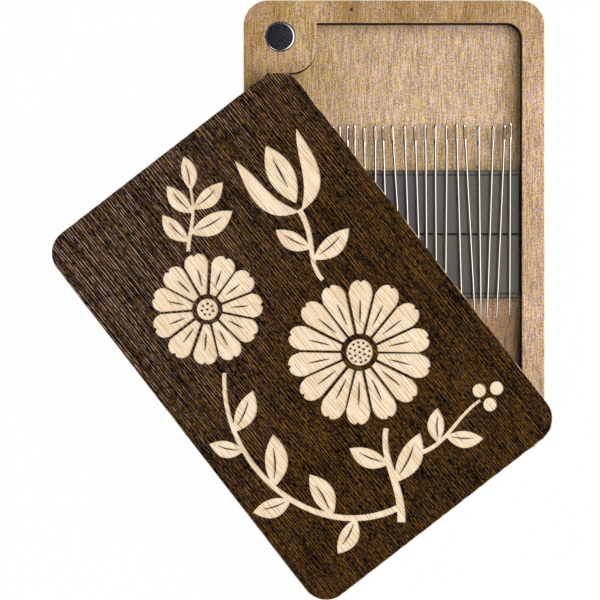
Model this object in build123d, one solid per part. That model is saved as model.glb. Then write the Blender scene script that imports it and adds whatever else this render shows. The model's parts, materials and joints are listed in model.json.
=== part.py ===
from build123d import *
import os
from itertools import accumulate
from math import atan2, degrees, pi, tan

os.makedirs("parts", exist_ok=True)

# All sizes are in millimetres. X runs across the case, Y along it and Z up from its underside,
# and the origin is the middle of that underside.

# Plywood layers
case_width = 60.0
case_length = 90.0
corner_radius = 5.0
base_plate_thickness = 3.0
base_frame_thickness = 3.0
lid_thickness = 4.0
lid_gap = 0.1
lid_swing_deg = 37.76

# Needle recess inside the frame, and the two corner blocks that it leaves for the magnets
border_width = 4.5
recess_corner_radius = 3.2
boss_size = 14.5
boss_corner_radius = 5.25

# Disc magnets: the lid keeps a skin of wood over its pair, one of which stands proud as the swivel's spigot
magnet_diameter = 6.0
magnet_chamfer = 0.25
magnet_clearance = 0.05
lid_skin = 1.0
spigot_length = 0.8
spigot_end_gap = 0.3

# Two lengths of flexible magnetic strip, side by side across the recess on their adhesive film
strip_width = 12.7
strip_thickness = 1.5
strip_end_gap = 0.5
strip_seam = 0.15
strip_row_offset = -1.6
strip_groove_inset = 0.8
strip_groove_width = 0.25
strip_groove_depth = 0.15
film_thickness = 0.15

# Needles, which lie on the strips with their eyes towards the closing magnet
needle_length = 39.0
needle_diameter = 0.55
needle_point_length = 6.0
needle_point_diameter = 0.1
needle_row_offset = 2.4
needle_end_margin = 1.7
needle_seat_gap = 0.02
eye_length = 3.4
eye_width = 0.8
eye_thickness = 0.58
eye_end_width = 0.4
eye_end_length = 0.45
eye_neck_length = 1.2
eye_wall = 0.22

# From the leftmost needle: the step from the one before it, how far its point leans to the right, and how
# far it lies above the row
needle_row = (
    (0.0, 0.2, -0.1),
    (1.8, -0.3, 0.2),
    (2.1, 0.4, 0.0),
    (1.7, 0.1, -0.3),
    (1.9, 0.5, 0.1),
    (1.8, 0.2, 0.0),
    (1.8, 0.0, -0.1),
    (1.3, 0.0, -0.2),
    (1.7, 0.0, 0.0),
    (1.3, 0.6, 0.1),
    (1.9, 0.9, -0.4),
    (2.2, 0.35, 0.0),
    (1.6, 1.1, -0.1),
    (1.8, 2.5, 0.0),
    (2.5, 1.3, -0.1),
    (2.1, 1.25, -0.1),
    (2.1, 0.3, 0.2),
    (1.9, 0.3, 0.1),
    (2.4, -0.35, 0.1),
    (1.9, 1.1, 0.2),
    (1.6, 2.1, 0.2),
    (2.8, 0.5, -0.1),
    (3.0, -1.3, -0.1),
    (2.3, -1.7, 0.1),
    (1.1, -0.2, 0.6),
)

# Spray of flowers engraved in the lid, drawn on a field of this width and length that is scaled to the lid
engraving_depth = 0.2
engraving_margin = 2.5
drawn_width = 55.0
drawn_length = 85.0

# Petals keep a dark line between them, and their straight sides end at this share of their length
petal_line = 0.5
petal_shoulder = 0.74

# Leaves curl away from their stalk by this share of their width
leaf_curl = 0.12

# A tulip seen from the side, in shares of its length and width: its upright middle petal stands in front
# of the gap between two outer ones, whose sides are drawn from the foot to the tip through two points each
tulip_middle_start = 0.12
tulip_middle_size = (0.86, 0.42)
tulip_tip = (1.0, 0.55)
tulip_outer_side = ((0.04, 0.72), (0.62, 0.60))
tulip_inner_side = ((0.36, 0.40), (0.66, 0.30))

# The flowers, placed from the middle of the closed lid
large_daisy = {"middle": (7.0, -9.5), "petals": 14, "eye_radius": 2.6, "inner": 3.7, "outer": 14.5}
small_daisy = {"middle": (-11.5, 15.5), "petals": 11, "eye_radius": 2.1, "inner": 3.0, "outer": 11.2}
side_tulip = {"foot": (14.8, 19.5), "turn": 80, "length": 15.0, "width": 12.5}
berry_cluster = {"middle": (22.0, -31.6), "radius": 1.35, "spread": 2.0, "count": 3}

# Their stalks: the path's four control points, a width for each end, and each leaf's place along the stalk,
# angle from it, length and width
main_stalk = {
    "path": ((-7.0, -41.0), (-2.0, -35.0), (-3.0, -29.0), (2.0, -24.5)),
    "widths": (1.7, 1.1),
    "leaves": ((0.42, -44, 11.0, 4.6), (0.62, 52, 8.5, 3.8)),
}
long_stalk = {
    "path": ((-5.4, -38.4), (-23.0, -35.0), (-29.0, -11.0), (-16.5, 3.6)),
    "widths": (1.3, 0.9),
    "leaves": (
        (0.17, 60, 8.0, 3.8),
        (0.26, -50, 9.5, 4.4),
        (0.43, 50, 8.0, 3.8),
        (0.51, -48, 10.5, 4.6),
        (0.69, 48, 7.0, 3.4),
        (0.77, -46, 9.0, 4.0),
    ),
}
tulip_stalk = {
    "path": ((10.0, 6.2), (9.5, 11.0), (14.0, 13.0), (14.8, 20.0)),
    "widths": (0.9, 1.2),
    "leaves": ((0.3, -60, 9.5, 4.0), (0.45, 55, 8.0, 3.6)),
}
top_stalk = {
    "path": ((-7.5, 26.8), (-5.0, 30.0), (-2.0, 31.0), (0.5, 36.5)),
    "widths": (0.9, 0.6),
    "leaves": (
        (0.15, 52, 7.5, 3.4),
        (0.28, -52, 9.5, 4.2),
        (0.6, 46, 7.5, 3.4),
        (0.66, -48, 8.0, 3.6),
        (0.95, 0, 7.0, 3.1),
    ),
}
berry_stalk = {
    "path": ((1.0, -30.5), (8.0, -36.0), (13.0, -31.0), (20.0, -31.5)),
    "widths": (1.0, 0.6),
    "leaves": ((0.4, 52, 7.0, 3.4), (0.5, -50, 7.5, 3.4)),
}

# Places worked out from the sizes above
plate_top = base_plate_thickness
frame_top = plate_top + base_frame_thickness
lid_bottom = frame_top + lid_gap
lid_top = lid_bottom + lid_thickness
recess_width = case_width - 2 * border_width
recess_length = case_length - 2 * border_width
boss_x = (case_width - boss_size) / 2
boss_y = (case_length - boss_size) / 2
bore_radius = magnet_diameter / 2 + magnet_clearance
lid_magnet_thickness = lid_thickness - lid_skin
spigot_end = lid_bottom - spigot_length
strip_length = recess_width - 2 * strip_end_gap
strip_bottom = plate_top + film_thickness
strip_top = strip_bottom + strip_thickness

# The frame holds a magnet in two opposite corners: the lid turns about one and closes on the other
closing_place = (-boss_x, boss_y)
pivot_place = (boss_x, -boss_y)
open_lid = Pos(*pivot_place) * Rot(0, 0, lid_swing_deg) * Pos(-pivot_place[0], -pivot_place[1])


def plate(bottom, thickness):
    outline = RectangleRounded(case_width, case_length, corner_radius)
    return Pos(0, 0, bottom) * extrude(outline, thickness)


def boss(place):
    # A square block in its corner of the case, rounded only where it faces the middle of the recess
    square = Pos(*place) * Rectangle(boss_size, boss_size)
    inner_corner = square.vertices().sort_by_distance((0, 0))[0]
    return fillet(inner_corner, boss_corner_radius)


def magnet_bore(place, bottom, depth):
    return Pos(*place, bottom) * extrude(Circle(bore_radius), depth)


def base_frame():
    opening = RectangleRounded(recess_width, recess_length, recess_corner_radius)
    for place in (closing_place, pivot_place):
        opening -= boss(place)
    frame = plate(plate_top, base_frame_thickness)
    frame -= Pos(0, 0, plate_top) * extrude(opening, base_frame_thickness)
    for place in (closing_place, pivot_place):
        frame -= magnet_bore(place, plate_top, base_frame_thickness)
    return frame


def disc_magnet(place, bottom, top):
    disc = Pos(*place, bottom) * extrude(Circle(magnet_diameter / 2), top - bottom)
    rims = disc.edges().filter_by(GeomType.CIRCLE)
    return chamfer(rims, magnet_chamfer)


def strip_middle(side):
    # Side is +1 for the strip nearer the eyes and -1 for the one nearer the points
    return strip_row_offset + side * (strip_width + strip_seam) / 2


def strip_layer(side, bottom, thickness):
    return Pos(0, strip_middle(side), bottom) * extrude(Rectangle(strip_length, strip_width), thickness)


def magnetic_strip(side):
    # A fine groove runs along the edge that lies away from the other strip
    groove_y = strip_middle(side) + side * (strip_width / 2 - strip_groove_inset)
    groove_line = Pos(0, groove_y, strip_top) * Rectangle(strip_length, strip_groove_width)
    groove = extrude(groove_line, -strip_groove_depth)
    return strip_layer(side, strip_bottom, strip_thickness) - groove


def needle_outline(eye_size):
    # Pointing along -Y from the end of its eye at the origin
    steps = (
        (eye_end_width, 0),
        (eye_size, eye_end_length),
        (eye_size, eye_length),
        (needle_diameter, eye_length + eye_neck_length),
        (needle_diameter, needle_length - needle_point_length),
        (needle_point_diameter, needle_length),
    )
    right = [(size / 2, -along) for size, along in steps]
    left = [(-across, along) for across, along in reversed(right)]
    return make_face(Polyline(*right, *left, close=True))


def needle_eye():
    # A slot with pointed ends, which keeps the same wall to the sides, the end and the neck
    half_width = eye_width / 2 - eye_wall
    near_end = eye_end_length + eye_wall
    far_end = eye_length - eye_wall
    outline = Polyline(
        (0, -near_end),
        (half_width, -near_end - half_width),
        (half_width, half_width - far_end),
        (0, -far_end),
        (-half_width, half_width - far_end),
        (-half_width, -near_end - half_width),
        close=True,
    )
    return extrude(make_face(outline), eye_thickness, both=True)


def needle():
    # Eight-sided: what its outlines from above, from the side and from between them have in common. The
    # stamped eye is wider than the shank, and flat.
    blank = extrude(needle_outline(eye_width), eye_width, both=True)
    for turn, eye_size in ((45, eye_width), (90, eye_thickness), (135, eye_width)):
        blank &= Rot(0, turn, 0) * extrude(needle_outline(eye_size), eye_width, both=True)
    return blank - needle_eye()


def needle_places():
    # The row fills the strips from margin to margin, and its uneven steps keep their proportions
    positions = list(accumulate(step for step, lean, rise in needle_row))
    share = (strip_length - 2 * needle_end_margin) / positions[-1]
    left = needle_end_margin - strip_length / 2
    eye_y = strip_row_offset + needle_row_offset + needle_length / 2
    height = strip_top + needle_seat_gap + needle_diameter / 2
    for position, (step, lean, rise) in zip(positions, needle_row):
        turn = degrees(atan2(lean * share, needle_length))
        yield Pos(left + position * share, eye_y + rise, height) * Rot(0, 0, turn)


def leaf(length, width, bend):
    # From its stalk at the origin to its tip on X, between two arcs whose middle is pushed sideways by bend
    sides = []
    for sign in (1, -1):
        sides.append(ThreePointArc((0, 0), (length / 2, bend + sign * width / 2), (length, 0)))
    return make_face(sides)


def petal(inner, outer, half_angle):
    # A ray along X between two radii: straight sides that keep the dark line, and a round end
    shoulder = inner + petal_shoulder * (outer - inner)
    heel_width = inner * tan(half_angle) - petal_line / 2
    shoulder_width = shoulder * tan(half_angle) - petal_line / 2
    edges = [Line((inner, -heel_width), (inner, heel_width))]
    for sign in (1, -1):
        side = Line((inner, sign * heel_width), (shoulder, sign * shoulder_width))
        edges += [side, TangentArc(side @ 1, (outer, 0), tangent=side % 1)]
    return make_face(edges)


def daisy(middle, petals, eye_radius, inner, outer):
    yield Pos(*middle) * Circle(eye_radius)
    ray = petal(inner, outer, pi / petals)
    for number in range(petals):
        yield Pos(*middle) * Rot(0, 0, number * 360 / petals) * ray


def tulip(foot, turn, length, width):
    place = Pos(*foot) * Rot(0, 0, turn)
    along, across = tulip_middle_size
    middle_petal = leaf(along * length, across * width, 0)
    yield place * Pos(tulip_middle_start * length, 0) * middle_petal
    for sign in (1, -1):
        sides = []
        for side in (tulip_outer_side, tulip_inner_side):
            points = [(along * length, sign * across * width) for along, across in (*side, tulip_tip)]
            sides.append(Bezier((0, 0), *points))
        yield place * make_face(sides)


def stalk(path, widths):
    # A ribbon along a curve of four control points, which tapers from one width to the other
    centre = Bezier(*path)
    sides = []
    for sign in (1, -1):
        at_start, at_end = [(centre % end).rotate(Axis.Z, 90) * (sign * widths[end] / 2) for end in (0, 1)]
        shifts = (at_start, at_start, at_end, at_end)
        sides.append(Bezier(*[Vector(*point) + shift for point, shift in zip(path, shifts)]))
    ends = [Line(sides[0] @ end, sides[1] @ end) for end in (0, 1)]
    return make_face(sides + ends)


def sprig(path, widths, leaves):
    yield stalk(path, widths)
    centre = Bezier(*path)
    for along, angle, length, width in leaves:
        heading = centre % along
        root = centre @ along
        turn = degrees(atan2(heading.Y, heading.X)) + angle
        away = 1 if angle > 0 else -1
        yield Pos(root.X, root.Y) * Rot(0, 0, turn) * leaf(length, width, away * leaf_curl * width)


def berries(middle, radius, spread, count):
    for number in range(count):
        yield Pos(*middle) * Rot(0, 0, number * 360 / count) * Pos(spread, 0) * Circle(radius)


def flower_spray():
    shapes = [*daisy(**large_daisy), *daisy(**small_daisy), *tulip(**side_tulip), *berries(**berry_cluster)]
    for one_stalk in (main_stalk, long_stalk, tulip_stalk, top_stalk, berry_stalk):
        shapes += sprig(**one_stalk)
    width_scale = (case_width - 2 * engraving_margin) / drawn_width
    length_scale = (case_length - 2 * engraving_margin) / drawn_length
    return scale(Sketch() + shapes, min(width_scale, length_scale))


def lid_plate():
    body = plate(lid_bottom, lid_thickness)
    body -= magnet_bore(pivot_place, lid_bottom, lid_magnet_thickness - spigot_length)
    body -= magnet_bore(closing_place, lid_bottom, lid_magnet_thickness)
    return body - Pos(0, 0, lid_top) * extrude(flower_spray(), -engraving_depth)


def build_base():
    parts = {
        "base_plate": plate(0, base_plate_thickness),
        "base_frame": base_frame(),
        "base_closing_magnet": disc_magnet(closing_place, plate_top, frame_top),
        "base_pivot_magnet": disc_magnet(pivot_place, plate_top, spigot_end - spigot_end_gap),
    }
    for name, side in (("upper", 1), ("lower", -1)):
        parts[f"{name}_magnetic_strip"] = magnetic_strip(side)
        parts[f"{name}_strip_adhesive"] = strip_layer(side, plate_top, film_thickness)
    one_needle = needle()
    for number, place in enumerate(needle_places(), start=1):
        parts[f"needle_{number:02d}"] = place * one_needle
    return parts


def build_lid():
    closed = {
        "lid_plate": lid_plate(),
        "lid_closing_magnet": disc_magnet(closing_place, lid_bottom, lid_bottom + lid_magnet_thickness),
        "lid_pivot_magnet": disc_magnet(pivot_place, spigot_end, spigot_end + lid_magnet_thickness),
    }
    return {name: open_lid * shape for name, shape in closed.items()}


for node, shape in (build_base() | build_lid()).items():
    export_step(shape, f"parts/{node}.step")
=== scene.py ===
import json
from math import atan2, cos, pi, radians, sin, tan

import bmesh
import bpy
from mathutils import Matrix, Vector


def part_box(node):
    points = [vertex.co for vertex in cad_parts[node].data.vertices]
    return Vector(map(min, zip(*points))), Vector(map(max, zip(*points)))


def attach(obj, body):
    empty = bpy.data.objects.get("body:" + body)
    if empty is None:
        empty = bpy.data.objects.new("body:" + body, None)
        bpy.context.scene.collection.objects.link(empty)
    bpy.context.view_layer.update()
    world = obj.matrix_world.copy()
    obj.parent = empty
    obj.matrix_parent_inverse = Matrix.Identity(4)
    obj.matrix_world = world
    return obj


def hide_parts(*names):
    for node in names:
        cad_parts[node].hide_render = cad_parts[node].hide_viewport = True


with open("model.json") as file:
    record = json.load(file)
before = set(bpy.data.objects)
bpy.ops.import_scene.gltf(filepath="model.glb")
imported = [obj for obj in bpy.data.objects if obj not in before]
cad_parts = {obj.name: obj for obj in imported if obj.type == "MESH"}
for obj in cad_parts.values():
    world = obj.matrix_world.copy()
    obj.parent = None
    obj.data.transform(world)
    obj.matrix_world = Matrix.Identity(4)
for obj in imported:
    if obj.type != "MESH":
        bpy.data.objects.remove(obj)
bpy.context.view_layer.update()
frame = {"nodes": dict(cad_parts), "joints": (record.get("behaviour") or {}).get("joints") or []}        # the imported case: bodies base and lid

# Shapes are drawn in millimetres, as they lie on the case, and turned into metres when they are finished
mm = 0.001


def cornersOf(node):
    low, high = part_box(node)
    return low / mm, high / mm


baseLow, baseHigh = cornersOf("base_plate")
frameLow, frameHigh = cornersOf("base_frame")
lidLow, lidHigh = cornersOf("lid_plate")
caseWidth = baseHigh.x - baseLow.x
caseLength = baseHigh.y - baseLow.y
pivotPlace = Vector(frame["joints"][0]["pos_m"][:2]) / mm
closingPlace = -pivotPlace
lidSwing = radians(37.76)        # how far the lid stands open in the photo
lidGrain = lidSwing + radians(1.0)       # its grain runs a little off its long sides
openLid = (
    Matrix.Translation(pivotPlace.to_3d())
    @ Matrix.Rotation(lidSwing, 4, "Z")
    @ Matrix.Translation(-pivotPlace.to_3d())
)
print("frame loaded:", len(frame["nodes"]), "nodes")


# Node trees

def openSocket(sockets, key):
    # by place or by name, skipping the sockets that the node's settings switch off
    if isinstance(key, int):
        return sockets[key]
    return next(socket for socket in sockets if socket.name == key and socket.enabled)


class Wire:
    # a node's output, on which arithmetic adds Math nodes
    def __init__(self, graph, socket):
        self.graph = graph
        self.socket = socket

    def __add__(self, other):
        return self.graph.math("ADD", self, other)

    def __sub__(self, other):
        return self.graph.math("SUBTRACT", self, other)

    def __rsub__(self, other):
        return self.graph.math("SUBTRACT", other, self)

    def __mul__(self, other):
        return self.graph.math("MULTIPLY", self, other)

    def __truediv__(self, other):
        return self.graph.math("DIVIDE", self, other)

    __radd__ = __add__
    __rmul__ = __mul__


class Graph:
    def __init__(self, tree):
        self.tree = tree
        tree.nodes.clear()

    def node(self, kind, values=None, output=0, **settings):
        made = self.tree.nodes.new(kind)
        for name, value in settings.items():
            setattr(made, name, value)
        for key, value in (values or {}).items():
            socket = openSocket(made.inputs, key)
            for one in value if isinstance(value, list) else [value]:
                if isinstance(one, Wire):
                    self.tree.links.new(one.socket, socket)
                else:
                    socket.default_value = one
        return Wire(self, openSocket(made.outputs, output)) if made.outputs else made

    def math(self, operation, *values):
        return self.node("ShaderNodeMath", dict(enumerate(values)), operation=operation)

    def vector(self, operation, values, output="Vector"):
        return self.node("ShaderNodeVectorMath", dict(enumerate(values)), output, operation=operation)

    def scaled(self, colour, factor):
        return self.node("ShaderNodeVectorMath", {0: colour, "Scale": factor}, "Vector", operation="SCALE")

    def parts(self, vector):
        split = self.node("ShaderNodeSeparateXYZ", {"Vector": vector}).socket.node
        return [Wire(self, socket) for socket in split.outputs]

    def combined(self, x=0.0, y=0.0, z=0.0):
        return self.node("ShaderNodeCombineXYZ", {"X": x, "Y": y, "Z": z})

    def distance(self, space, middle, reach):
        # from a middle in X and Y, 1 at its reach along each
        apart = self.vector("SUBTRACT", [space, (*middle, 0.0)])
        apart = self.vector("MULTIPLY", [apart, (1 / reach[0], 1 / reach[1], 0.0)])
        return self.vector("LENGTH", [apart], "Value")

    def step(self, value, low, high):
        # from 0 at low to 1 at high, eased at both ends
        values = {"Value": value, "From Min": low, "From Max": high}
        return self.node("ShaderNodeMapRange", values, "Result", interpolation_type="SMOOTHSTEP")

    def nearHalf(self, value, reach):
        # 1 where a value is a half, down to 0 at a reach from it
        return 1 - self.step(self.math("ABSOLUTE", value - 0.5), 0.0, reach)

    def noise(self, space, layer, shift=0.0):
        # a layer of grain: its reach across and along Y in millimetres, its detail and its own shift
        across, along, detail, ownShift = layer
        stretched = self.vector("MULTIPLY", [space, (1 / across, 1 / along, 1 / across)])
        moved = self.vector("ADD", [stretched, (shift + ownShift,) * 3])
        values = {"Vector": moved, "Scale": 1.0, "Detail": detail}
        return self.node("ShaderNodeTexNoise", values, "Fac")

    def layers(self, space, sizes, shift=0.0):
        return [self.noise(space, layer, shift) for layer in sizes.values()]

    def blend(self, values, shares):
        first, *others = [value * share for value, share in zip(values, shares)]
        for other in others:
            first = first + other
        return first

    def ruled(self, space, rulings):
        # mixed sets of nearly even lines along Y, 1 in their middles and 0 between them
        across = self.parts(space)[0]
        sets = []
        for period, shift, share in rulings:
            wander = self.noise(space, lineWander["layer"], shift)
            phase = self.math("FRACT", across / period + wander * lineWander["reach"])
            sets.append(self.nearHalf(phase, 0.5))
        return self.blend(sets, [share for period, shift, share in rulings])

    def mix(self, factor, a, b):
        values = {"Factor": factor, "A": a, "B": b}
        return self.node("ShaderNodeMix", values, "Result", data_type="RGBA")

    def shown(self, level, coat):
        # how far a coat shows at a layer's level
        return self.step(level, *coat["shows"])

    def coated(self, colour, mask, coat):
        return self.mix(mask * coat["share"], colour, coat["colour"])

    def coats(self, colour, look, levels):
        # the named coats of a look, one over the other, each by the level of its layer
        for name, level in levels.items():
            colour = self.coated(colour, self.shown(level, look[name]), look[name])
        return colour


lineWander = {"layer": (2.2, 50.0, 1.0, 0.0), "reach": 2.6}      # what makes ruled lines less even


def newMaterial(name):
    material = bpy.data.materials.new(name)
    material.use_nodes = True
    return material, Graph(material.node_tree)


def millimetres(graph, turn=0.0):
    # the piece's own coordinates, with Y along the grain
    place = graph.node("ShaderNodeTexCoord", {}, "Object")
    values = {"Vector": place, "Rotation": (0, 0, -turn), "Scale": (1 / mm, 1 / mm, 1 / mm)}
    return graph.node("ShaderNodeMapping", values, "Vector")


def finish(graph, colour, look, height, uneven=0.0):
    # relief is how deep the bumps are, in millimetres, and uneven is what roughens the finish
    bump = {"Strength": 1.0, "Distance": look["relief"] * mm, "Height": height}
    values = {
        "Base Color": colour,
        "Metallic": look.get("metallic", 0.0),
        "Roughness": look["roughness"] + uneven * look.get("roughened", 0.0),
        "Specular IOR Level": look.get("specular", 0.5),
        "Normal": graph.node("ShaderNodeBump", bump, "Normal"),
    }
    shader = graph.node("ShaderNodeBsdfPrincipled", values, "BSDF")
    graph.node("ShaderNodeOutputMaterial", {"Surface": shader})


# Finishes: what "shows" does so from one level of its layer to another

birchTones = {
    "frame": {
        "shade": (0.368, 0.227, 0.080, 1),
        "light": (0.600, 0.425, 0.262, 1),
        "turnsLight": (-34.0, 8.0),      # X - Y, where the upper left's shade starts to fade and is gone
        "knot": (-8.5, 43.15),
        "patches": (((-18.0, 40.5), (7.0, 13.0), (1.25, 1.38, 1.60, 1)),),   # middle, reach and tint
        "shift": 3.1,
    },
    "floor": {
        # painted shade: the floor darker towards the upper left, by the lid
        "shade": (0.520, 0.370, 0.205, 1),
        "light": (0.620, 0.455, 0.285, 1),
        "turnsLight": (-50.0, -10.0),
        "knot": (17.0, 12.0),
        "patches": (
            # painted shadow: darker in the corner of the recess between the lid and the frame's right wall
            ((22.0, -23.0), (15.0, 15.0), (0.66, 0.57, 0.46, 1)),
            # painted shade: darker and warmer along the recess's right wall
            ((26.0, 27.0), (6.0, 24.0), (0.95, 0.88, 0.66, 1)),
            # painted shade: darker and warmer on the floor beside the boss's wall
            ((-16.5, 30.0), (7.0, 12.0), (0.92, 0.90, 0.74, 1)),
            ((6.0, 13.0), (24.0, 9.0), (1.08, 1.08, 0.92, 1)),
        ),
        "shift": 17.7,
    },
}
# the frame's eased upper edges: its birch made lighter, a painted highlight where the edges catch the light
birchTones["rim"] = {
    **birchTones["frame"],
    "shade": (0.500, 0.330, 0.160, 1),
    "light": (0.740, 0.560, 0.370, 1),
}
birch = {
    "layers": {
        "cloud": (4.0, 9.0, 2.0, 0.0),
        "streak": (0.45, 16.0, 2.0, 5.0),
        "fibre": (0.13, 3.2, 0.0, 11.0),
        "grit": (0.13, 0.30, 0.0, 17.0),
        "hue": (0.18, 0.26, 0.0, 23.0),
        "pores": (0.14, 1.6, 0.0, 29.0),
        "breaks": (0.3, 1.4, 0.0, 31.0),
        "hairs": (0.24, 24.0, 0.0, 37.0),
    },
    "fadeShare": 0.8,        # in how light it is, with the clouds
    "cloudShare": 0.4,
    "cloudShows": (0.34, 0.66),
    "dimmer": 0.1,
    "grainShares": (0.38, 0.50, 0.12),       # of fibre, grit and streak
    "grainShows": (0.38, 0.62),
    "grainDepth": 1.0,
    "hueShows": (0.32, 0.68),
    "ochre": (1.05, 0.95, 0.42, 1),
    "rosy": (1.02, 1.00, 1.62, 1),
    "patchShows": (1.0, 0.2),
    "pore": {"shows": (0.68, 0.78), "share": 0.35, "colour": (0.22, 0.125, 0.05, 1)},
    "poreDepth": 0.5,
    "hair": {"shows": (0.40, 0.60), "share": 0.20, "colour": (0.28, 0.16, 0.060, 1)},
    "hairWidth": 0.09,
    "knotShape": (1.0, 1.33),
    "knotHalo": {"shows": (2.6, 0.5), "share": 0.35, "colour": (0.26, 0.13, 0.05, 1)},
    "knotHeart": {"shows": (0.42, 0.20), "share": 0.95, "colour": (0.020, 0.009, 0.005, 1)},
    "roughness": 0.62, "roughened": 0.12, "specular": 0.3, "relief": 0.012,
}


def birchFace(name, tones, turn=0.0):
    material, graph = newMaterial(name)
    space = millimetres(graph, turn)
    noises = graph.layers(space, birch["layers"], tones["shift"])
    cloud, streak, fibre, grit, hue, pores, breaks, hairs = noises
    x, y = graph.parts(space)[:2]
    lightness = graph.step(x - y, *tones["turnsLight"]) * birch["fadeShare"]
    lightness = lightness + graph.step(cloud, *birch["cloudShows"]) * birch["cloudShare"] - birch["dimmer"]
    colour = graph.mix(lightness, tones["shade"], tones["light"])
    grain = graph.step(graph.blend((fibre, grit, streak), birch["grainShares"]), *birch["grainShows"])
    colour = graph.scaled(colour, 1 - birch["grainDepth"] / 2 + grain * birch["grainDepth"])
    tint = graph.mix(graph.step(hue, *birch["hueShows"]), birch["ochre"], birch["rosy"])
    colour = graph.vector("MULTIPLY", [colour, tint])
    for middle, reach, patchTint in tones["patches"]:
        inside = graph.step(graph.distance(space, middle, reach), *birch["patchShows"])
        colour = graph.vector("MULTIPLY", [colour, graph.mix(inside, (1, 1, 1, 1), patchTint)])
    pore = graph.shown(pores, birch["pore"])
    colour = graph.coated(colour, pore, birch["pore"])
    hair = graph.nearHalf(hairs, birch["hairWidth"]) * graph.shown(breaks, birch["hair"])
    colour = graph.coated(colour, hair, birch["hair"])
    away = graph.distance(space, tones["knot"], birch["knotShape"])
    colour = graph.coats(colour, birch, {"knotHalo": away, "knotHeart": away})
    finish(graph, colour, birch, fibre - pore * birch["poreDepth"], grain)
    return material


charred = {
    "burn": (0.22, 0.22, 2.0, 4.0),
    "upright": (0.16, 0.16, 2.0, 9.0),
    "heightShare": 0.05,     # draws the upright lines out
    "black": (0.008, 0.005, 0.003, 1),
    "soot": {"shows": (0.35, 0.65), "share": 1.0, "colour": (0.048, 0.025, 0.012, 1)},
    "core": {"shows": (0.47, 0.53), "share": 0.55, "colour": (0.026, 0.013, 0.007, 1)},
    "brown": {"shows": (0.5, 0.8), "share": 0.35, "colour": (0.11, 0.060, 0.03, 1)},
    "glue": {"share": 0.7, "colour": (0.005, 0.003, 0.002, 1)},
    "glueWidth": 0.05,
    "basePly": 1.0,
    "lidPlies": 5,
    "roughness": 0.82, "specular": 0.2, "relief": 0.05,
}


def charredEdge(name, bottom, ply, turn=0.0):
    # laser-cut plywood: soot with upright burn lines, over plies that show as bands
    material, graph = newMaterial(name)
    space = millimetres(graph, turn)
    burn = graph.noise(space, charred["burn"])
    drawnOut = graph.vector("MULTIPLY", [space, (1, 1, charred["heightShare"])])
    upright = graph.noise(drawnOut, charred["upright"])
    phase = graph.math("FRACT", (graph.parts(space)[2] - bottom) / (2 * ply))
    colour = graph.coats(charred["black"], charred, {"soot": upright, "core": phase, "brown": burn})
    colour = graph.coated(colour, graph.nearHalf(phase, charred["glueWidth"]), charred["glue"])
    finish(graph, colour, charred, upright)
    return material


stain = {
    "layers": {
        "cloud": (5.0, 13.0, 2.0, 31.0),
        "streak": (0.105, 5.0, 0.0, 37.0),
        "grit": (0.11, 0.80, 0.0, 47.0),
        "hue": (0.15, 0.50, 0.0, 53.0),
        "speck": (0.07, 0.22, 0.0, 83.0),
        "breaks": (0.12, 1.5, 0.0, 59.0),
        "rubbed": (2.0, 5.0, 2.0, 91.0),
    },
    "lines": ((0.47, 41.0, 0.55), (0.61, 43.0, 0.45)),       # period, shift and share of each set
    "leftwardShows": (0.0, 60.0),
    "leftwardSlant": 0.2,
    "lineShare": (0.11, 0.03),       # at the right, and what is added towards the left
    "grainShares": (1.0, 0.38, 0.44, 0.18, 0.13, 0.004),     # of lines, streak, grit, speck, cloud and the lightening towards the left
    "dark": (0.0012, 0.0006, 0.0004, 1),
    "brown": {"shows": (0.495, 0.575), "colour": (0.070, 0.030, 0.004, 1)},
    "ochre": {"shows": (0.52, 0.60), "colour": (0.180, 0.080, 0.006, 1)},
    "ochreHue": (0.48, 0.60),
    "violet": {"shows": (0.46, 0.32), "colour": (0.090, 0.056, 0.100, 1)},
    "violetShare": (0.22, 0.70),
    "fibre": {"shows": (0.55, 0.90)},
    "fibreShare": (0.20, 0.25),
    "fibreUnbroken": (0.47, 0.60),
    "leftwardBreaks": 0.04,
    "warmest": (0.66, 0.29, 0.05, 1),        # of the fibres, at the right and at the left
    "palest": (0.88, 0.60, 0.43, 1),
    "wornAndLit": {"shows": (0.44, 0.62), "colour": (0.86, 0.58, 0.36, 1)},
    "roughness": 0.6, "roughened": 0.2, "specular": 0.05, "relief": 0.01,
}


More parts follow.
